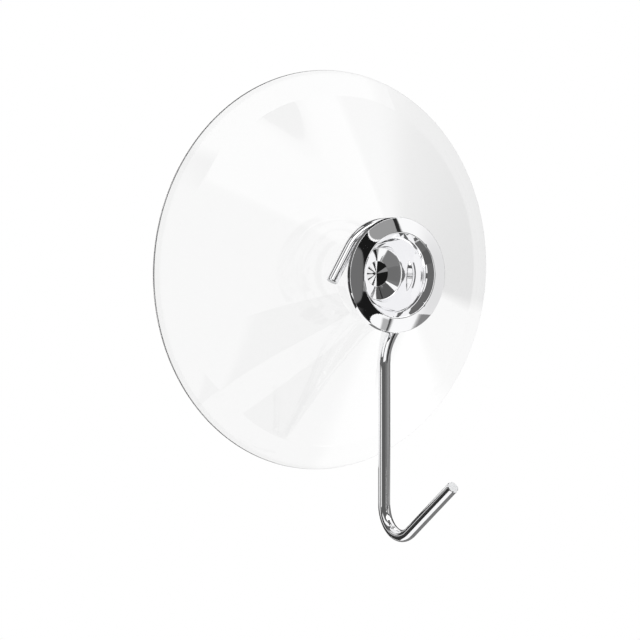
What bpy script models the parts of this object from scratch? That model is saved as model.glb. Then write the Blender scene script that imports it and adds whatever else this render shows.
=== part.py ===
"""Suction cup hook: a clear moulded cup, a dished chrome cap and a bent wire hook.

The wall is the plane Y = 0 and the cup's axis runs towards -Y, away from it.
+Z is up and the origin is the centre of the cup's rim. Lengths are in metres.
The two turned pieces are drawn as profiles of radius and height above the wall,
and the wire is one path in its own plane, swept round.
"""
import math

import bmesh
import bpy
from mathutils import Vector

# Suction cup, moulded in one piece
CUP_RADIUS = 0.0300          # outer radius at the rim
RIM_THICKNESS = 0.0008       # blunt outer edge of the lip
LIP_WIDTH = 0.0036           # outer band that flexes flat on the wall
LIP_SLOPE = math.radians(27.0)
BOSS_RADIUS = 0.0077         # flat shoulder on top of the cone
BOSS_HEIGHT = 0.0156         # shoulder above the wall
BOSS_ROUND = 0.0004
LAND_WIDTH = 0.0016          # flat ring that seals on the wall
HOLLOW_DEPTH = 0.0090        # suction hollow, at its middle
HOLLOW_BULGE = 1.6           # how round the hollow's roof is: 1 is a cone, 2 a bowl
CUP_STEPS = 72
HOLLOW_POINTS = 14

# Gap left between pieces that touch, and the play of the wire in its groove
SEAT_GAP = 0.0003
GROOVE_PLAY = 0.0004

# Chrome cap, turned in one piece with its neck and short barbed plug
NECK_RADIUS = 0.0062         # what the wire loop turns on
CAP_RADIUS = 0.00865         # outer edge of the head
CAP_EDGE = 0.0005            # thickness of that edge
CAP_EDGE_ROUND = 0.0003
CAP_FLARE = 0.0017           # how far the head's edge stands forward of the groove
CREST_RADIUS = 0.0063        # ring where the dish starts
CREST_RISE = 0.00055         # crest forward of the outer edge
CREST_ROUND = 0.0002
CHAMFER_WIDTH = 0.0009       # bright bevel inside the crest
CHAMFER_DEPTH = 0.00116
CHAMFER_ROUND = 0.0018
WALL_RADIUS = 0.0048         # dish wall where it bellies out a little
WALL_DEPTH = 0.0032          # that place below the crest
WALL_ROUND = 0.0080
DISH_DEPTH = 0.00614         # crest to the pointed middle
FLOOR_RADIUS = 0.0039        # where the steep dish wall meets its floor
FLOOR_RISE = 0.00098         # floor's edge above its middle
FLOOR_ROUND = 0.0003
POINT_RADIUS = 0.0019        # flatter cone in the middle of the floor
POINT_RISE = 0.00025
POINT_ROUND = 0.0003
UNDERCUT_ROUND = 0.0005
PLUG_RADIUS = 0.0044
PLUG_LENGTH = 0.0026
BARB_RADIUS = 0.0048
BARB_LENGTH = 0.0010
BARB_LEAD = 0.0005           # how much the barb tapers towards its tip
CAP_STEPS = 64

# Wire hook, one bent steel wire
WIRE_DIAMETER = 0.0018
LOOP_CLEARANCE = 0.0004      # between the wire loop and the neck
TAIL_LENGTH = 0.0057         # straight free end
TAIL_ANGLE = math.radians(148.0)
SHANK_BEND = 0.0085          # bend from the loop into the shank
SHANK_REACH = 0.0395         # cup's axis down to the lowest point of the wire
J_BEND = 0.00445
ARM_ANGLE = math.radians(34.0)
ARM_LENGTH = 0.0132
ARC_STEP = math.radians(6.5)
WIRE_SIDES = 12

WIRE_RADIUS = WIRE_DIAMETER / 2
LOOP_RADIUS = NECK_RADIUS + LOOP_CLEARANCE + WIRE_RADIUS
WIRE_HEIGHT = BOSS_HEIGHT + SEAT_GAP + WIRE_RADIUS
GROOVE_TOP = WIRE_HEIGHT + WIRE_RADIUS + GROOVE_PLAY
ROUND_SEGMENTS = 4


def clear_objects():
    for obj in list(bpy.data.objects):
        bpy.data.objects.remove(obj, do_unlink=True)


def make_collection(name):
    collection = bpy.data.collections.new(name)
    bpy.context.scene.collection.children.link(collection)
    return collection


def make_material(name, colour, roughness, metallic, transmission=0.0):
    material = bpy.data.materials.new(name)
    material.use_nodes = True
    shader = material.node_tree.nodes["Principled BSDF"]
    shader.inputs["Base Color"].default_value = (*colour, 1.0)
    shader.inputs["Roughness"].default_value = roughness
    shader.inputs["Metallic"].default_value = metallic
    shader.inputs["Transmission Weight"].default_value = transmission
    material.diffuse_color = (*colour, 1.0)
    return material


def round_corners(corners):
    """Replace each (radius, height, rounding) corner of a profile by an arc."""
    points = []
    for i, (x, h, rounding) in enumerate(corners):
        here = Vector((x, h))
        if rounding <= 0.0 or i in (0, len(corners) - 1):
            points.append((x, h))
            continue
        back = Vector(corners[i - 1][:2]) - here
        ahead = Vector(corners[i + 1][:2]) - here
        half = back.angle(ahead) / 2
        room = 0.49 * min(back.length, ahead.length)
        reach = min(rounding / math.tan(half), room)
        radius = reach * math.tan(half)
        start = here + back.normalized() * reach
        middle = here + (back.normalized() + ahead.normalized()).normalized() * (radius / math.sin(half))
        first = start - middle
        last = here + ahead.normalized() * reach - middle
        sweep = first.angle_signed(last)
        for k in range(ROUND_SEGMENTS + 1):
            turn = -sweep * k / ROUND_SEGMENTS
            spoke = Vector((first.x * math.cos(turn) - first.y * math.sin(turn),
                            first.x * math.sin(turn) + first.y * math.cos(turn)))
            points.append(tuple(middle + spoke))
    return points


def turned_piece(name, profile, steps, collection, material):
    """Turn a profile of (radius, height above the wall) about the cup's axis."""
    mesh = bpy.data.meshes.new(name)
    points = [(x, 0.0, h) for x, h in profile]
    mesh.from_pydata(points, [(i, i + 1) for i in range(len(points) - 1)], [])
    obj = bpy.data.objects.new(name, mesh)
    obj.rotation_euler = (math.radians(90.0), 0.0, 0.0)
    collection.objects.link(obj)
    screw = obj.modifiers.new("turn", "SCREW")
    screw.axis = "Z"
    screw.steps = steps
    screw.render_steps = steps
    screw.use_merge_vertices = True
    screw.merge_threshold = 0.00001
    screw.use_smooth_shade = True
    obj.data.materials.append(material)
    return obj


def suction_cup(collection, material):
    """Clear PVC: solid boss with the plug's socket, straight cone, thin lip, hollow behind."""
    socket_radius = PLUG_RADIUS + SEAT_GAP
    barb_radius = BARB_RADIUS + SEAT_GAP
    tip_radius = barb_radius - BARB_LEAD
    tip_height = BOSS_HEIGHT - PLUG_LENGTH
    barb_height = tip_height + BARB_LENGTH + 2 * SEAT_GAP
    lip_radius = CUP_RADIUS - LIP_WIDTH
    lip_height = RIM_THICKNESS + LIP_WIDTH * math.tan(LIP_SLOPE)
    land_radius = CUP_RADIUS - LAND_WIDTH
    corners = [
        (0.0, tip_height, 0.0),
        (tip_radius, tip_height, 0.0),
        (barb_radius, barb_height, 0.0),
        (socket_radius, barb_height, 0.0),
        (socket_radius, BOSS_HEIGHT, 0.0),
        (BOSS_RADIUS, BOSS_HEIGHT, BOSS_ROUND),
        (lip_radius, lip_height, LIP_WIDTH),
        (CUP_RADIUS, RIM_THICKNESS, RIM_THICKNESS / 2),
        (CUP_RADIUS, 0.0, RIM_THICKNESS / 4),
        (land_radius, 0.0, 0.0),
    ]
    profile = round_corners(corners)
    for i in range(1, HOLLOW_POINTS + 1):
        across = 1.0 - i / HOLLOW_POINTS
        profile.append((land_radius * across, HOLLOW_DEPTH * (1.0 - across ** HOLLOW_BULGE)))
    return turned_piece("suction_cup", profile, CUP_STEPS, collection, material)


def cap(collection, material):
    """Chromed head with a dished face, a neck for the wire and a barbed plug."""
    edge_back = GROOVE_TOP + CAP_FLARE
    edge_front = edge_back + CAP_EDGE
    crest = edge_front + CREST_RISE
    middle = crest - DISH_DEPTH
    seat = BOSS_HEIGHT + SEAT_GAP
    tip_height = seat - PLUG_LENGTH
    corners = [
        (0.0, middle, 0.0),
        (POINT_RADIUS, middle + POINT_RISE, POINT_ROUND),
        (FLOOR_RADIUS, middle + FLOOR_RISE, FLOOR_ROUND),
        (WALL_RADIUS, crest - WALL_DEPTH, WALL_ROUND),
        (CREST_RADIUS - CHAMFER_WIDTH, crest - CHAMFER_DEPTH, CHAMFER_ROUND),
        (CREST_RADIUS, crest, CREST_ROUND),
        (CAP_RADIUS, edge_front, CAP_EDGE_ROUND),
        (CAP_RADIUS, edge_back, CAP_EDGE - CAP_EDGE_ROUND),
        (NECK_RADIUS, GROOVE_TOP, UNDERCUT_ROUND),
        (NECK_RADIUS, seat, 0.0),
        (PLUG_RADIUS, seat, 0.0),
        (PLUG_RADIUS, tip_height + BARB_LENGTH, 0.0),
        (BARB_RADIUS, tip_height + BARB_LENGTH, 0.0),
        (BARB_RADIUS - BARB_LEAD, tip_height, 0.0),
        (0.0, tip_height, 0.0),
    ]
    return turned_piece("cap", round_corners(corners), CAP_STEPS, collection, material)


def arc(centre, radius, start, end):
    """Points on an arc in a plane, both ends included."""
    count = max(2, math.ceil(abs(end - start) / ARC_STEP))
    angles = [start + (end - start) * i / count for i in range(count + 1)]
    return [(centre[0] + radius * math.cos(a), centre[1] + radius * math.sin(a)) for a in angles]


def wire_path():
    """The wire's centre line: tail, open loop, shank, J bend and arm."""
    bend_z = -math.sqrt((LOOP_RADIUS + SHANK_BEND) ** 2 - SHANK_BEND ** 2)
    join = math.atan2(bend_z, SHANK_BEND)
    loop = arc((0.0, 0.0), LOOP_RADIUS, TAIL_ANGLE, join)
    tail = (loop[0][0] - TAIL_LENGTH * math.sin(TAIL_ANGLE),
            loop[0][1] + TAIL_LENGTH * math.cos(TAIL_ANGLE))
    bend = arc((SHANK_BEND, bend_z), SHANK_BEND, join + math.pi, math.pi)
    j_z = WIRE_RADIUS + J_BEND - SHANK_REACH
    flat = [tail] + loop + bend[1:]
    points = [Vector((x, 0.0, z)) for x, z in flat]
    hook = arc((-J_BEND, j_z), J_BEND, 0.0, -math.pi / 2 - ARM_ANGLE)
    points += [Vector((0.0, y, z)) for y, z in hook]
    points.append(points[-1] + ARM_LENGTH * Vector((0.0, -math.cos(ARM_ANGLE), math.sin(ARM_ANGLE))))
    return points


def wire_hook(collection, material):
    """One round steel wire, cut square at both ends, turning on the cap's neck."""
    curve = bpy.data.curves.new("wire_hook", "CURVE")
    curve.dimensions = "3D"
    curve.bevel_depth = WIRE_RADIUS
    curve.bevel_resolution = (WIRE_SIDES - 4) // 2
    curve.use_fill_caps = True
    points = wire_path()
    spline = curve.splines.new("POLY")
    spline.points.add(len(points) - 1)
    for knot, point in zip(spline.points, points):
        knot.co = (*point, 1.0)
    spline.use_smooth = True
    obj = bpy.data.objects.new("wire_hook", curve)
    obj.location = (0.0, -WIRE_HEIGHT, 0.0)
    collection.objects.link(obj)
    curve.materials.append(material)
    return obj


clear_objects()
parts = make_collection("suction_cup_hook")
clear_pvc = make_material("clear PVC", (0.93, 0.95, 0.96), 0.08, 0.0, 0.9)
chrome = make_material("chrome plate", (0.80, 0.80, 0.81), 0.05, 1.0)
suction_cup(parts, clear_pvc)
cap(parts, chrome)
wire_hook(parts, chrome)
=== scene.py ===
"""Looks of a suction cup hook: a clear moulded cup, a dished plated cap and a plated wire.

The wall is the plane Y = 0, the cup's axis runs towards -Y and +Z is up. Lengths are in
metres, and heights are measured from the wall.
"""
import math

import bpy
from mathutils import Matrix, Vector


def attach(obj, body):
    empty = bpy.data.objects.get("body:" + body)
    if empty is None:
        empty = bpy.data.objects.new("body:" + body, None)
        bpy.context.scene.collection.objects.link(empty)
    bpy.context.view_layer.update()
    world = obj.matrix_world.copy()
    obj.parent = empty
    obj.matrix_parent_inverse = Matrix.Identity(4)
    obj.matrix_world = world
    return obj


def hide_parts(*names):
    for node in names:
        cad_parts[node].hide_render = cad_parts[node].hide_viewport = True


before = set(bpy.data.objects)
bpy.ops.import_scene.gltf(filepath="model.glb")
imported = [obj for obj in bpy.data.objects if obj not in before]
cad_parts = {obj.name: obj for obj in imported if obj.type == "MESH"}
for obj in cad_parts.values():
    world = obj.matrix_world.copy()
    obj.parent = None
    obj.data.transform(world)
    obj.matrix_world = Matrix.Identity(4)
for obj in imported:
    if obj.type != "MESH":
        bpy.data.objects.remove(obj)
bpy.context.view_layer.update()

# Camera
# The photograph looks at the cup from its left and a little above, with a long lens
# from far off, so that the round rim shows as an almost pure ellipse.
VIEW_AZIMUTH = math.radians(-33.69)
VIEW_ELEVATION = math.radians(3.08)
VIEW_DISTANCE = 1.0
VIEW_LENS_MM = 374.2
SENSOR_MM = 36.0
AIM_RIGHT = -0.00022
AIM_UP = -0.00754

toward_camera = Vector((math.sin(VIEW_AZIMUTH) * math.cos(VIEW_ELEVATION),
                        -math.cos(VIEW_AZIMUTH) * math.cos(VIEW_ELEVATION),
                        math.sin(VIEW_ELEVATION)))
camera_right = Vector((math.cos(VIEW_AZIMUTH), math.sin(VIEW_AZIMUTH), 0.0))
camera_up = toward_camera.cross(camera_right)
camera_data = bpy.data.cameras.new("photograph_camera")
camera_data.sensor_width = SENSOR_MM
camera_data.lens = VIEW_LENS_MM
camera_data.clip_start = 0.01
camera = bpy.data.objects.new("photograph_camera", camera_data)
camera.location = camera_right * AIM_RIGHT + camera_up * AIM_UP + toward_camera * VIEW_DISTANCE
camera.rotation_euler = (-toward_camera).to_track_quat("-Z", "Y").to_euler()
bpy.context.scene.collection.objects.link(camera)
bpy.context.scene.camera = camera


# Suction cup
# One injection moulding in clear soft PVC: a solid boss, a straight cone that thins into
# a flexible lip, and a round hollow behind. The cap's plug snaps into a socket in the boss.
CUP_RADIUS = 0.0300
RIM_THICKNESS = 0.0004       # the lip runs out thin, and shows as a fine line at the rim
LIP_WIDTH = 0.0036
LIP_SLOPE = math.radians(27.0)
LAND_WIDTH = 0.0016
BOSS_RADIUS = 0.0077
BOSS_HEIGHT = 0.0156
BOSS_ROUND = 0.0004
HOLLOW_DEPTH = 0.0090
HOLLOW_BULGE = 1.6
SEAT_GAP = 0.0003
PLUG_RADIUS = 0.0044
PLUG_LENGTH = 0.0026
BARB_RADIUS = 0.0048
BARB_LENGTH = 0.0010
BARB_LEAD = 0.0005
CUP_STEPS = 288
HOLLOW_POINTS = 56
ARC_POINTS = 10              # on each rounded corner of a turned profile
LONGEST_REACH = 0.49         # an arc takes at most this share of the shorter side of its corner
SHARP_ANGLE = math.radians(35.0)
CLEAR_PVC = "#F8F8F8"
PVC_IOR = 1.53
PVC_ROUGHNESS = 0.035
MOULD_WAVE = 0.009           # spacing of the slow waves that a soft moulding keeps
MOULD_WAVE_HEIGHT = 0.000012


def linear(colour):
    """An sRGB hex colour as linear red, green, blue and full alpha."""
    parts = [int(colour[i:i + 2], 16) / 255 for i in (1, 3, 5)]
    return tuple(c / 12.92 if c <= 0.04045 else ((c + 0.055) / 1.055) ** 2.4 for c in parts) + (1.0,)


def add_node(tree, kind, settings=None, inputs=None):
    """Add a node with its settings. An input given as a socket is linked, any other is set."""
    node = tree.nodes.new(kind)
    for name, value in (settings or {}).items():
        setattr(node, name, value)
    for name, value in (inputs or {}).items():
        if isinstance(value, bpy.types.NodeSocket):
            tree.links.new(value, node.inputs[name])
        else:
            node.inputs[name].default_value = value
    return node


def start_material(name):
    """A material with only its output node, and that node."""
    material = bpy.data.materials.new(name)
    material.use_nodes = True
    material.node_tree.nodes.clear()
    return material, add_node(material.node_tree, "ShaderNodeOutputMaterial")


def round_corners(corners):
    """Replace each (radius, height, rounding) corner of a profile by an arc."""
    points = []
    for i, (x, h, rounding) in enumerate(corners):
        here = Vector((x, h))
        if rounding <= 0.0 or i in (0, len(corners) - 1):
            points.append((x, h))
            continue
        back = Vector(corners[i - 1][:2]) - here
        ahead = Vector(corners[i + 1][:2]) - here
        half = back.angle(ahead) / 2
        reach = min(rounding / math.tan(half), LONGEST_REACH * min(back.length, ahead.length))
        radius = reach * math.tan(half)
        middle = here + (back.normalized() + ahead.normalized()).normalized() * (radius / math.sin(half))
        first = here + back.normalized() * reach - middle
        last = here + ahead.normalized() * reach - middle
        sweep = first.angle_signed(last)
        for k in range(ARC_POINTS + 1):
            turn = -sweep * k / ARC_POINTS
            points.append((middle.x + first.x * math.cos(turn) - first.y * math.sin(turn),
                           middle.y + first.x * math.sin(turn) + first.y * math.cos(turn)))
    return points


def turn_profile(name, profile, steps):
    """Turn a closed profile of (radius, height from the wall) about the cup's axis."""
    vertices = []
    rings = []
    for radius, height in profile:
        if radius == 0.0:
            rings.append([len(vertices)] * steps)
            vertices.append((0.0, -height, 0.0))
            continue
        rings.append([len(vertices) + k for k in range(steps)])
        for k in range(steps):
            angle = 2 * math.pi * k / steps
            vertices.append((radius * math.cos(angle), -height, radius * math.sin(angle)))
    faces = []
    for inner, outer in zip(rings, rings[1:]):
        for k in range(steps):
            after = (k + 1) % steps
            corners = [inner[k], outer[k], outer[after], inner[after]]
            faces.append(tuple(dict.fromkeys(corners)))
    mesh = bpy.data.meshes.new(name)
    mesh.from_pydata(vertices, [], faces)
    mesh.shade_smooth()
    mesh.set_sharp_from_angle(angle=SHARP_ANGLE)
    piece = bpy.data.objects.new(name, mesh)
    bpy.context.scene.collection.objects.link(piece)
    return piece


# Clear PVC from a polished mould: the surface shines and the white behind shows through,
# and slow waves from shrinkage bend the reflections a little.
clear_pvc, pvc_output = start_material("clear_soft_pvc_from_polished_mould")
pvc_tree = clear_pvc.node_tree
pvc_place = add_node(pvc_tree, "ShaderNodeTexCoord")
mould_waves = add_node(pvc_tree, "ShaderNodeTexNoise", inputs={
    "Vector": pvc_place.outputs["Object"], "Scale": 1.0 / MOULD_WAVE, "Detail": 1.0})
mould_bump = add_node(pvc_tree, "ShaderNodeBump", inputs={
    "Height": mould_waves.outputs["Fac"], "Strength": 1.0, "Distance": MOULD_WAVE_HEIGHT})
pvc_shader = add_node(pvc_tree, "ShaderNodeBsdfPrincipled", inputs={
    "Base Color": linear(CLEAR_PVC), "Roughness": PVC_ROUGHNESS, "IOR": PVC_IOR,
    "Transmission Weight": 1.0, "Normal": mould_bump.outputs["Normal"]})
pvc_tree.links.new(pvc_shader.outputs[0], pvc_output.inputs["Surface"])

barb_radius = BARB_RADIUS + SEAT_GAP
socket_radius = PLUG_RADIUS + SEAT_GAP
socket_floor = BOSS_HEIGHT - PLUG_LENGTH
barb_ledge = socket_floor + BARB_LENGTH + 2 * SEAT_GAP
lip_start = CUP_RADIUS - LIP_WIDTH
lip_height = RIM_THICKNESS + LIP_WIDTH * math.tan(LIP_SLOPE)
land_radius = CUP_RADIUS - LAND_WIDTH
cup_profile = round_corners([
    (0.0, socket_floor, 0.0),
    (barb_radius - BARB_LEAD, socket_floor, 0.0),
    (barb_radius, barb_ledge, 0.0),
    (socket_radius, barb_ledge, 0.0),
    (socket_radius, BOSS_HEIGHT, 0.0),
    (BOSS_RADIUS, BOSS_HEIGHT, BOSS_ROUND),
    (lip_start, lip_height, LIP_WIDTH),
    (CUP_RADIUS, RIM_THICKNESS, RIM_THICKNESS / 2),
    (CUP_RADIUS, 0.0, RIM_THICKNESS / 4),
    (land_radius, 0.0, 0.0),
])
for i in range(1, HOLLOW_POINTS + 1):
    across = 1.0 - i / HOLLOW_POINTS
    cup_profile.append((land_radius * across, HOLLOW_DEPTH * (1.0 - across ** HOLLOW_BULGE)))
clear_cup = turn_profile("clear_cup", cup_profile, CUP_STEPS)
clear_cup.data.materials.append(clear_pvc)
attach(clear_cup, "cup")
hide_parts("suction_cup")


# Cap
# A turned metal button with a dished face, bright chrome plated. Its neck is the spool
# that the wire turns on, and its short barbed plug holds it in the soft boss.
NECK_RADIUS = 0.0062
GROOVE_TOP = 0.0181          # leaves the wire 0.4 mm of play under the head
CAP_RADIUS = 0.00865
CAP_EDGE = 0.0005
CAP_EDGE_ROUND = 0.00008
CAP_EDGE_BEVEL = 0.00016     # the turned edge is broken by a narrow bevel, which outlines the head
CAP_BACK_ROUND = 0.0001
CAP_FLARE = 0.0017
CREST_RADIUS = 0.0063
CREST_RISE = 0.00055
CREST_ROUND = 0.0002
BAND_BULGE = 0.00003         # polishing leaves the outer band slightly domed
BAND_ROUND = 0.0200
CHAMFER_WIDTH = 0.0009
CHAMFER_DEPTH = 0.00116
CHAMFER_ROUND = 0.0018
WALL_RADIUS = 0.0048
WALL_DEPTH = 0.0032
WALL_ROUND = 0.0080
DISH_DEPTH = 0.00614
FLOOR_RADIUS = 0.0039
FLOOR_RISE = 0.00098
FLOOR_ROUND = 0.0003
POINT_RADIUS = 0.0019
POINT_RISE = 0.00025
POINT_ROUND = 0.0003
POINT_TIP = 0.00008          # the tip itself, so small that the point shades as a cone
UNDERCUT_ROUND = 0.0005
CAP_STEPS = 288
CHROME = "#FAFAFB"
CAP_ROUGHNESS = 0.02
CAP_HAZE = 0.05              # roughness where the polishing cloth left its marks
WIPE_MARK = 0.003            # size of those marks
WIPE_RANGE = (0.35, 0.75)
LATHE_RING = 0.00025         # real feed marks are about a fifth of this, finer than a pixel
LATHE_RING_HEIGHT = 0.0000001

# Bright chrome over turned metal: a clear mirror, a little hazy in soft patches, that keeps
# faint rings from the lathe.
cap_chrome, cap_output = start_material("bright_chrome_on_turned_metal")
cap_tree = cap_chrome.node_tree
cap_place = add_node(cap_tree, "ShaderNodeTexCoord")
from_axis = add_node(cap_tree, "ShaderNodeVectorMath", {"operation": "MULTIPLY"}, {
    0: cap_place.outputs["Object"], 1: (1.0, 0.0, 1.0)})
axis_distance = add_node(cap_tree, "ShaderNodeVectorMath", {"operation": "LENGTH"}, {
    0: from_axis.outputs[0]})
ring_phase = add_node(cap_tree, "ShaderNodeMath", {"operation": "MULTIPLY"}, {
    0: axis_distance.outputs["Value"], 1: 2 * math.pi / LATHE_RING})
lathe_rings = add_node(cap_tree, "ShaderNodeMath", {"operation": "SINE"}, {0: ring_phase.outputs[0]})
ring_bump = add_node(cap_tree, "ShaderNodeBump", inputs={
    "Height": lathe_rings.outputs[0], "Strength": 1.0, "Distance": LATHE_RING_HEIGHT})
wiped = add_node(cap_tree, "ShaderNodeTexNoise", inputs={
    "Vector": cap_place.outputs["Object"], "Scale": 1.0 / WIPE_MARK, "Detail": 3.0})
cap_haze = add_node(cap_tree, "ShaderNodeMapRange", inputs={
    "Value": wiped.outputs["Fac"], "From Min": WIPE_RANGE[0], "From Max": WIPE_RANGE[1],
    "To Min": CAP_ROUGHNESS, "To Max": CAP_HAZE})
cap_shader = add_node(cap_tree, "ShaderNodeBsdfPrincipled", inputs={
    "Base Color": linear(CHROME), "Metallic": 1.0, "Roughness": cap_haze.outputs["Result"],
    "Normal": ring_bump.outputs["Normal"]})
cap_tree.links.new(cap_shader.outputs[0], cap_output.inputs["Surface"])

edge_back = GROOVE_TOP + CAP_FLARE
edge_front = edge_back + CAP_EDGE
crest = edge_front + CREST_RISE
dish_middle = crest - DISH_DEPTH
cap_seat = BOSS_HEIGHT + SEAT_GAP
plug_tip = cap_seat - PLUG_LENGTH
cap_profile = round_corners([
    (0.0, dish_middle, 0.0),
    (POINT_TIP, dish_middle + POINT_RISE * POINT_TIP / POINT_RADIUS, 0.0),
    (POINT_RADIUS, dish_middle + POINT_RISE, POINT_ROUND),
    (FLOOR_RADIUS, dish_middle + FLOOR_RISE, FLOOR_ROUND),
    (WALL_RADIUS, crest - WALL_DEPTH, WALL_ROUND),
    (CREST_RADIUS - CHAMFER_WIDTH, crest - CHAMFER_DEPTH, CHAMFER_ROUND),
    (CREST_RADIUS, crest, CREST_ROUND),
    ((CREST_RADIUS + CAP_RADIUS) / 2, (crest + edge_front) / 2 + BAND_BULGE, BAND_ROUND),
    (CAP_RADIUS - CAP_EDGE_BEVEL, edge_front + CAP_EDGE_BEVEL * CREST_RISE / (CAP_RADIUS - CREST_RADIUS),
     CAP_EDGE_ROUND),
    (CAP_RADIUS, edge_back, CAP_BACK_ROUND),
    (NECK_RADIUS, GROOVE_TOP, UNDERCUT_ROUND),
    (NECK_RADIUS, cap_seat, 0.0),
    (PLUG_RADIUS, cap_seat, 0.0),
    (PLUG_RADIUS, plug_tip + BARB_LENGTH, 0.0),
    (BARB_RADIUS, plug_tip + BARB_LENGTH, 0.0),
    (BARB_RADIUS - BARB_LEAD, plug_tip, 0.0),
    (0.0, plug_tip, 0.0),
])
plated_cap = turn_profile("plated_cap", cap_profile, CAP_STEPS)
plated_cap.data.materials.append(cap_chrome)
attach(plated_cap, "cup")
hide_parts("cap")


# Wire hook
# One length of drawn steel wire, bent cold into an open loop, a straight shank and a hook,
# chrome plated after bending. The loop sits loose in the groove under the cap.
WIRE_RADIUS = 0.0009
WIRE_HEIGHT = BOSS_HEIGHT + SEAT_GAP + WIRE_RADIUS
LOOP_RADIUS = 0.0075
TAIL_LENGTH = 0.0057
TAIL_ANGLE = math.radians(148.0)
SHANK_BEND = 0.0085
SHANK_REACH = 0.0395
J_BEND = 0.00445
ARM_ANGLE = math.radians(34.0)
ARM_LENGTH = 0.0132
BEND_STEP = math.radians(2.0)
STRAIGHT_STEP = 0.0008
WIRE_SIDES = 40
CUT_BEVEL = 0.00012          # burr rolled over by the shears
WIRE_ROUGHNESS = 0.04
WIRE_HAZE = 0.08             # roughness along the deeper die lines
DIE_RANGE = (0.3, 0.7)
DIE_LINE = 0.00012           # real die lines are a few hundredths of a millimetre, too fine to show
DIE_LINE_STRETCH = 0.01      # the lines run a hundred times as far along the wire
DIE_LINE_HEIGHT = 0.0000004
CUT_STEEL = "#D9DADB"
CUT_ROUGHNESS = 0.4
TORN_GRAIN = 0.00015         # real tears are about a third of this, finer than a pixel
TORN_HEIGHT = 0.000008


def bend(centre, radius, start, end):
    """Points on an arc in a plane, both ends included."""
    count = math.ceil(abs(end - start) / BEND_STEP)
    angles = [start + (end - start) * i / count for i in range(count + 1)]
    return [(centre[0] + radius * math.cos(a), centre[1] + radius * math.sin(a)) for a in angles]


def straight(start, end):
    """Points from start to end, both included."""
    count = math.ceil((end - start).length / STRAIGHT_STEP)
    return [start.lerp(end, i / count) for i in range(count + 1)]


def draw_wire(name, path, radius):
    """A round wire along a path, its ends cut square with a rolled edge. The attribute wire_place
    keeps where each point lies across and along the wire, so that patterns follow the bends."""
    tangents = [(b - a).normalized() for a, b in zip(path, path[1:])]
    along = [tangents[0]] + [(a + b).normalized() for a, b in zip(tangents, tangents[1:])] + [tangents[-1]]
    side = along[0].orthogonal().normalized()
    travelled = 0.0
    stations = []
    for i, point in enumerate(path):
        if i:
            travelled += (point - path[i - 1]).length
            side = (side - along[i] * side.dot(along[i])).normalized()
        stations.append((point, along[i], side.copy(), radius, travelled))
    first, last = stations[0], stations[-1]
    stations.insert(0, (first[0], first[1], first[2], radius - CUT_BEVEL, 0.0))
    stations[1] = (first[0] + first[1] * CUT_BEVEL, first[1], first[2], radius, 0.0)
    stations[-1] = (last[0] - last[1] * CUT_BEVEL, last[1], last[2], radius, travelled)
    stations.append((last[0], last[1], last[2], radius - CUT_BEVEL, travelled))
    vertices = []
    places = []
    for point, direction, spoke, reach, distance in stations:
        other = direction.cross(spoke)
        for k in range(WIRE_SIDES):
            angle = 2 * math.pi * k / WIRE_SIDES
            vertices.append(point + (spoke * math.cos(angle) + other * math.sin(angle)) * reach)
            places += [reach * math.cos(angle), reach * math.sin(angle), distance * DIE_LINE_STRETCH]
    faces = []
    for i in range(len(stations) - 1):
        for k in range(WIRE_SIDES):
            after = (k + 1) % WIRE_SIDES
            faces.append((i * WIRE_SIDES + k, i * WIRE_SIDES + after,
                          (i + 1) * WIRE_SIDES + after, (i + 1) * WIRE_SIDES + k))
    walls = len(faces)
    faces.append(tuple(reversed(range(WIRE_SIDES))))
    faces.append(tuple(range(len(vertices) - WIRE_SIDES, len(vertices))))
    mesh = bpy.data.meshes.new(name)
    mesh.from_pydata(vertices, [], faces)
    mesh.shade_smooth()
    mesh.set_sharp_from_angle(angle=SHARP_ANGLE)
    for cut_end in mesh.polygons[walls:]:
        cut_end.use_smooth = False
        cut_end.material_index = 1
    mesh.attributes.new("wire_place", "FLOAT_VECTOR", "POINT").data.foreach_set("vector", places)
    piece = bpy.data.objects.new(name, mesh)
    bpy.context.scene.collection.objects.link(piece)
    return piece


# Bright chrome over drawn steel: a mirror with faint lengthwise die lines, a little softer
# than the polished cap.
wire_chrome, wire_output = start_material("bright_chrome_on_drawn_steel")
wire_tree = wire_chrome.node_tree
wire_place = add_node(wire_tree, "ShaderNodeAttribute", {"attribute_name": "wire_place"})
die_lines = add_node(wire_tree, "ShaderNodeTexNoise", inputs={
    "Vector": wire_place.outputs["Vector"], "Scale": 1.0 / DIE_LINE, "Detail": 2.0})
die_bump = add_node(wire_tree, "ShaderNodeBump", inputs={
    "Height": die_lines.outputs["Fac"], "Strength": 1.0, "Distance": DIE_LINE_HEIGHT})
wire_haze = add_node(wire_tree, "ShaderNodeMapRange", inputs={
    "Value": die_lines.outputs["Fac"], "From Min": DIE_RANGE[0], "From Max": DIE_RANGE[1],
    "To Min": WIRE_ROUGHNESS, "To Max": WIRE_HAZE})
wire_shader = add_node(wire_tree, "ShaderNodeBsdfPrincipled", inputs={
    "Base Color": linear(CHROME), "Metallic": 1.0, "Roughness": wire_haze.outputs["Result"],
    "Normal": die_bump.outputs["Normal"]})
wire_tree.links.new(wire_shader.outputs[0], wire_output.inputs["Surface"])

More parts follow.
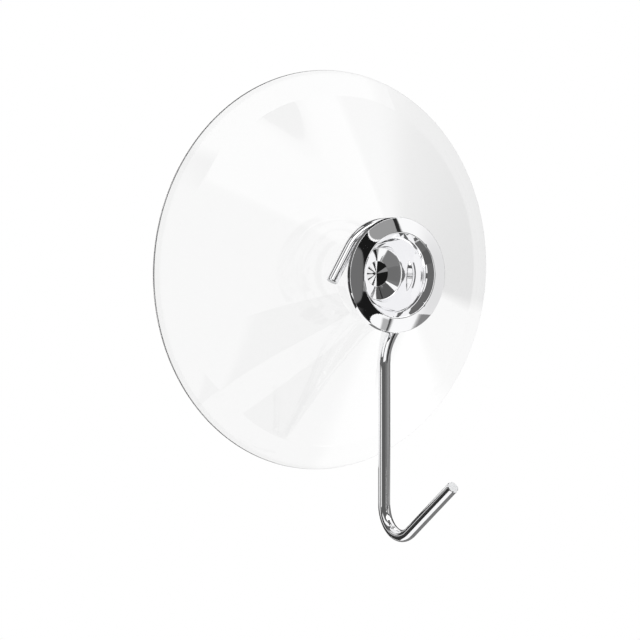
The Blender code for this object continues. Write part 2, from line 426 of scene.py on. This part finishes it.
# The sheared ends took the plating thinly over a torn face, so they look pale and matt.
cut_steel, cut_output = start_material("thinly_plated_sheared_steel")
cut_tree = cut_steel.node_tree
cut_place = add_node(cut_tree, "ShaderNodeTexCoord")
torn_grain = add_node(cut_tree, "ShaderNodeTexNoise", inputs={
    "Vector": cut_place.outputs["Object"], "Scale": 1.0 / TORN_GRAIN, "Detail": 2.0})
torn_bump = add_node(cut_tree, "ShaderNodeBump", inputs={
    "Height": torn_grain.outputs["Fac"], "Strength": 1.0, "Distance": TORN_HEIGHT})
cut_shader = add_node(cut_tree, "ShaderNodeBsdfPrincipled", inputs={
    "Base Color": linear(CUT_STEEL), "Metallic": 1.0, "Roughness": CUT_ROUGHNESS,
    "Normal": torn_bump.outputs["Normal"]})
cut_tree.links.new(cut_shader.outputs[0], cut_output.inputs["Surface"])

bend_height = -math.sqrt((LOOP_RADIUS + SHANK_BEND) ** 2 - SHANK_BEND ** 2)
bend_joint = math.atan2(bend_height, SHANK_BEND)
loop = [Vector((x, -WIRE_HEIGHT, z)) for x, z in bend((0.0, 0.0), LOOP_RADIUS, TAIL_ANGLE, bend_joint)]
tail_end = loop[0] + TAIL_LENGTH * Vector((-math.sin(TAIL_ANGLE), 0.0, math.cos(TAIL_ANGLE)))
counter_bend = [Vector((x, -WIRE_HEIGHT, z))
                for x, z in bend((SHANK_BEND, bend_height), SHANK_BEND, bend_joint + math.pi, math.pi)]
j_height = WIRE_RADIUS + J_BEND - SHANK_REACH
j_bend = [Vector((0.0, y - WIRE_HEIGHT, z))
          for y, z in bend((-J_BEND, j_height), J_BEND, 0.0, -math.pi / 2 - ARM_ANGLE)]
arm_end = j_bend[-1] + ARM_LENGTH * Vector((0.0, -math.cos(ARM_ANGLE), math.sin(ARM_ANGLE)))
wire_path = (straight(tail_end, loop[0])[:-1] + loop + counter_bend[1:]
             + straight(counter_bend[-1], j_bend[0])[1:-1] + j_bend + straight(j_bend[-1], arm_end)[1:])
plated_wire = draw_wire("plated_wire", wire_path, WIRE_RADIUS)
plated_wire.data.materials.append(wire_chrome)
plated_wire.data.materials.append(cut_steel)
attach(plated_wire, "hook")
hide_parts("wire_hook")


# Studio
# A pale floor under the hook and white all round, with soft lamps. Grey and black cards
# stand round the object, as for any glass or chrome, to draw its edges in reflection.
FLOOR_HEIGHT = -0.45
FLOOR_REACH = 1.3
FLOOR_SIDES = 96
FLOOR_COLOUR = "#F2F2F1"
FLOOR_ROUGHNESS = 0.8
WHITE = "#FFFFFF"
ROOM_LIGHT = 0.8
CARD_DISTANCE = 0.42
BRIGHT_CARD = 1.8            # how much brighter than white a lit reflector looks in the shine
CARD_CELLS = 24              # faces of a card, each way
SPOKE_HALF = 0.7             # half the height of a spoke, in degrees
FLAG_DISTANCE = 0.026        # flags stand this far from the shank's axis
FLAG_HEIGHTS = (-0.0385, -0.0125)

scene = bpy.context.scene
scene.view_settings.view_transform = "Standard"

floor_mesh = bpy.data.meshes.new("studio_floor")
floor_points = [(FLOOR_REACH * math.cos(2 * math.pi * k / FLOOR_SIDES),
                 FLOOR_REACH * math.sin(2 * math.pi * k / FLOOR_SIDES), FLOOR_HEIGHT)
                for k in range(FLOOR_SIDES)]
floor_mesh.from_pydata(floor_points, [], [tuple(range(FLOOR_SIDES))])
floor = bpy.data.objects.new("studio_floor", floor_mesh)
scene.collection.objects.link(floor)
# Matt paper: it takes the lamps softly, and is plain white in the shine and through the cup.
floor_paint, floor_output = start_material("white_studio_paper")
floor_tree = floor_paint.node_tree
floor_shader = add_node(floor_tree, "ShaderNodeBsdfPrincipled", inputs={
    "Base Color": linear(FLOOR_COLOUR), "Roughness": FLOOR_ROUGHNESS})
floor_ray = add_node(floor_tree, "ShaderNodeLightPath")
mirrored = add_node(floor_tree, "ShaderNodeMath", {"operation": "MAXIMUM"}, {
    0: floor_ray.outputs["Is Glossy Ray"], 1: floor_ray.outputs["Is Transmission Ray"]})
white_floor = add_node(floor_tree, "ShaderNodeEmission", inputs={"Color": linear(WHITE), "Strength": 1.0})
floor_mix = add_node(floor_tree, "ShaderNodeMixShader", inputs={
    0: mirrored.outputs[0], 1: floor_shader.outputs[0], 2: white_floor.outputs[0]})
floor_tree.links.new(floor_mix.outputs[0], floor_output.inputs["Surface"])
floor_mesh.materials.append(floor_paint)

# The room is plain white to the eye, in the shine and through the cup, and lights matt things less.
world = bpy.data.worlds.new("white_studio")
scene.world = world
world.use_nodes = True
world.node_tree.nodes.clear()
world_tree = world.node_tree
ray = add_node(world_tree, "ShaderNodeLightPath")
seen_or_shiny = add_node(world_tree, "ShaderNodeMath", {"operation": "MAXIMUM"}, {
    0: ray.outputs["Is Camera Ray"], 1: ray.outputs["Is Glossy Ray"]})
seen = add_node(world_tree, "ShaderNodeMath", {"operation": "MAXIMUM"}, {
    0: seen_or_shiny.outputs[0], 1: ray.outputs["Is Transmission Ray"]})
dim_light = add_node(world_tree, "ShaderNodeBackground", inputs={
    "Color": linear(WHITE), "Strength": ROOM_LIGHT})
white_room = add_node(world_tree, "ShaderNodeBackground", inputs={"Color": linear(WHITE), "Strength": 1.0})
room_mix = add_node(world_tree, "ShaderNodeMixShader", inputs={
    0: seen.outputs[0], 1: dim_light.outputs[0], 2: white_room.outputs[0]})
add_node(world_tree, "ShaderNodeOutputWorld", inputs={"Surface": room_mix.outputs[0]})


def hang_card(name, grid, covers, tone, strength=1.0):
    """A card through a square grid of points, with its own glow. It is seen only in the shine,
    and it is clear where its cover is 0."""
    row = CARD_CELLS + 1
    faces = [(i * row + j, i * row + j + 1, (i + 1) * row + j + 1, (i + 1) * row + j)
             for i in range(CARD_CELLS) for j in range(CARD_CELLS)]
    mesh = bpy.data.meshes.new(name)
    mesh.from_pydata(grid, [], faces)
    cover = mesh.attributes.new("cover", "FLOAT", "POINT")
    cover.data.foreach_set("value", covers)
    card = bpy.data.objects.new(name, mesh)
    scene.collection.objects.link(card)
    paint, output = start_material(name)
    tree = paint.node_tree
    glow = add_node(tree, "ShaderNodeEmission", inputs={"Color": linear(tone), "Strength": strength})
    clear = add_node(tree, "ShaderNodeBsdfTransparent")
    edge = add_node(tree, "ShaderNodeAttribute", {"attribute_name": "cover"})
    blend = add_node(tree, "ShaderNodeMixShader", inputs={
        0: edge.outputs["Fac"], 1: clear.outputs[0], 2: glow.outputs[0]})
    tree.links.new(blend.outputs[0], output.inputs["Surface"])
    paint.cycles.emission_sampling = "NONE"
    mesh.materials.append(paint)
    card.visible_camera = False
    card.visible_diffuse = False
    card.visible_transmission = False
    card.visible_shadow = False


def melt(distance, width):
    """How much of a card is there at a distance inside an edge that melts away over a width."""
    part = min(max(distance / width, 0.0), 1.0) if width else 1.0
    return part * part * (3 - 2 * part)


def stand_card(name, azimuths, elevations, tone, distance=CARD_DISTANCE, is_round=False,
               fades=(0, 0, 0, 0), strength=1.0):
    """A card bent round the cap, placed in degrees as seen from the cap. Azimuth 0 is straight out
    from the wall, and the edges at left, right, bottom and top melt away over the fades."""
    half_width = (azimuths[1] - azimuths[0]) / 2
    half_height = (elevations[1] - elevations[0]) / 2
    grid, covers = [], []
    for i in range(CARD_CELLS + 1):
        for j in range(CARD_CELLS + 1):
            across = 2 * i / CARD_CELLS - 1
            up = 2 * j / CARD_CELLS - 1
            covers.append(
                melt((1 + across) * half_width, fades[0]) * melt((1 - across) * half_width, fades[1])
                * melt((1 + up) * half_height, fades[2]) * melt((1 - up) * half_height, fades[3]))
            if is_round:
                across, up = across * math.sqrt(1 - up * up / 2), up * math.sqrt(1 - across * across / 2)
            a = math.radians(sum(azimuths) / 2 + half_width * across)
            e = math.radians(sum(elevations) / 2 + half_height * up)
            grid.append((distance * math.sin(a) * math.cos(e),
                         -edge_front - distance * math.cos(a) * math.cos(e), distance * math.sin(e)))
    hang_card(name, grid, covers, tone, strength)


# In front: the cap's outer band and the cones in its dish mirror these, the spokes as fine rays.
stand_card("black_disc_in_front", (0, 38), (-32, 27), "#1A1A1A", 0.410, True)
stand_card("dim_disc_in_front", (-9, 13.5), (-19, 15), "#6E6E6E", 0.405, True, (2, 2, 2, 2))
stand_card("dim_card_left", (-8.5, 5.5), (-14, 18.5), "#787878", 0.408)
stand_card("dim_card_low", (-12, 28), (-43, -12), "#7C7C7C", 0.42, False, (3, 3, 5, 0))
stand_card("dark_card_high_left", (-24, 6), (23, 38), "#505050", 0.42, False, (10, 2, 4, 6))
stand_card("dim_card_high_left", (6, 37), (22, 40), "#575757", 0.42)
stand_card("dim_card_high_right", (37, 49), (28, 40), "#575757", 0.42)
stand_card("light_gap_high", (14.2, 36.2), (12, 29), WHITE, 0.40, True)
stand_card("pale_card_high", (15, 37), (13, 30), "#9B9B9B", 0.395, True)
stand_card("dark_bar_high", (34, 38), (8, 32), "#2A2A2A", 0.39, False, (0, 2, 3, 0))
stand_card("grey_patch_low", (25, 31), (-36, -21), "#B4B4B4", 0.395, False, (2, 0, 0, 2))
stand_card("dark_bar_low", (30.5, 34), (-36, -20), "#3A3A3A", 0.39, False, (0, 3, 0, 2))
stand_card("light_gap_low", (17, 38), (-31.5, -19.5), WHITE, 0.40, True)
for elevation in (-14, -8.5, -3, 2.5, 8):
    stand_card("dark_spoke_%+.0f" % elevation, (38, 51), (elevation - SPOKE_HALF, elevation + SPOKE_HALF),
               "#1A1A1A", 0.41)

# To the left, above and below: the bevel inside the cap's crest mirrors these as a crescent.
stand_card("notch_card", (-100, -60), (-5, 8), "#606060", 0.415)
for name, azimuths, elevations in (
        ("grey_card_left", (-71, -56), (-42, 42)),
        ("grey_card_left_high", (-80, -56), (40, 62)),
        ("grey_card_left_low", (-80, -56), (-62, -40)),
        ("grey_card_above", (-105, 40), (61, 90)),
        ("grey_card_above_right", (40, 150), (76, 90)),
        ("grey_card_below", (-105, 40), (-90, -61)),
        ("grey_card_below_right", (40, 255), (-90, -84))):
    stand_card(name, azimuths, elevations, "#686868", 0.412)

# To the right and behind: the left part of that bevel, the cap's edge, the wire and the clear
# rim mirror these.
stand_card("soft_card_right", (40, 80), (-34, 26), "#E4E4E4", 0.43, True, (16, 12, 20, 24))
stand_card("dark_card_right", (74, 133), (-9.5, 42), "#101010", 0.42, False, (0, 0, 2, 16))
stand_card("dark_card_behind", (131, 259), (-27, 12), "#3A3A3A", 0.42)
stand_card("dark_card_behind_high", (131, 192), (10, 90), "#2E2E2E", 0.42)
stand_card("grey_card_behind_high", (190, 250), (10, 66), "#646464", 0.42)
stand_card("dark_card_behind_low", (182, 243), (-47, -27), "#2E2E2E", 0.415)
stand_card("grey_card_back_right", (116, 178), (-82, -12), "#7A7A7A", 0.42)

# Bright cards put a white sheen on two broad parts of the clear cone.
stand_card("bright_card_high", (-42, 72), (33, 62), WHITE, 0.43, False, (6, 4, 5, 3), BRIGHT_CARD)
stand_card("bright_card_low", (50, 112), (-62, -20), WHITE, 0.43, False, (8, 8, 8, 8), BRIGHT_CARD)

# Grey and pale cards at the heights where the wire's shank and its lowest bend mirror them.
stand_card("grey_strip_front", (12, 48), (-9.8, -4.9), "#878787", 0.39)
stand_card("pale_strip_behind", (190, 246), (-9.8, -4.7), "#D8D8D8", 0.40, False, (4, 4, 0, 0))
stand_card("pale_card_behind", (208, 229), (0, 22), "#D8D8D8", 0.40, False, (4, 4, 4, 4))


def stand_flag(name, azimuths, tone, fades):
    """A small flag bent round the shank's line, clear of the wire and below the cap. Its left and
    right edges melt away over the fades."""
    grid, covers = [], []
    for i in range(CARD_CELLS + 1):
        degrees = azimuths[0] + (azimuths[1] - azimuths[0]) * i / CARD_CELLS
        a = math.radians(degrees)
        x, y = FLAG_DISTANCE * math.sin(a), -WIRE_HEIGHT - FLAG_DISTANCE * math.cos(a)
        for j in range(CARD_CELLS + 1):
            grid.append((x, y, FLAG_HEIGHTS[0] + (FLAG_HEIGHTS[1] - FLAG_HEIGHTS[0]) * j / CARD_CELLS))
            covers.append(melt(degrees - azimuths[0], fades[0]) * melt(azimuths[1] - degrees, fades[1]))
    hang_card(name, grid, covers, tone)


stand_flag("dark_flag_left", (-88, -2), "#5C5C5C", (10, 12))
stand_flag("grey_flag_right", (46, 106), "#878787", (4, 18))


def hang_lamp(name, place, size, power):
    """A soft square lamp that faces the object and isn't seen in it."""
    light = bpy.data.lights.new(name, "AREA")
    light.size = size
    light.energy = power
    lamp = bpy.data.objects.new(name, light)
    lamp.location = place
    lamp.rotation_euler = (-Vector(place)).to_track_quat("-Z", "Y").to_euler()
    lamp.visible_glossy = False
    lamp.visible_transmission = False
    scene.collection.objects.link(lamp)


hang_lamp("soft_key_lamp", (-0.5, -0.8, 1.0), 0.8, 6.0)
hang_lamp("soft_fill_lamp", (0.9, -0.4, 0.7), 0.8, 3.0)
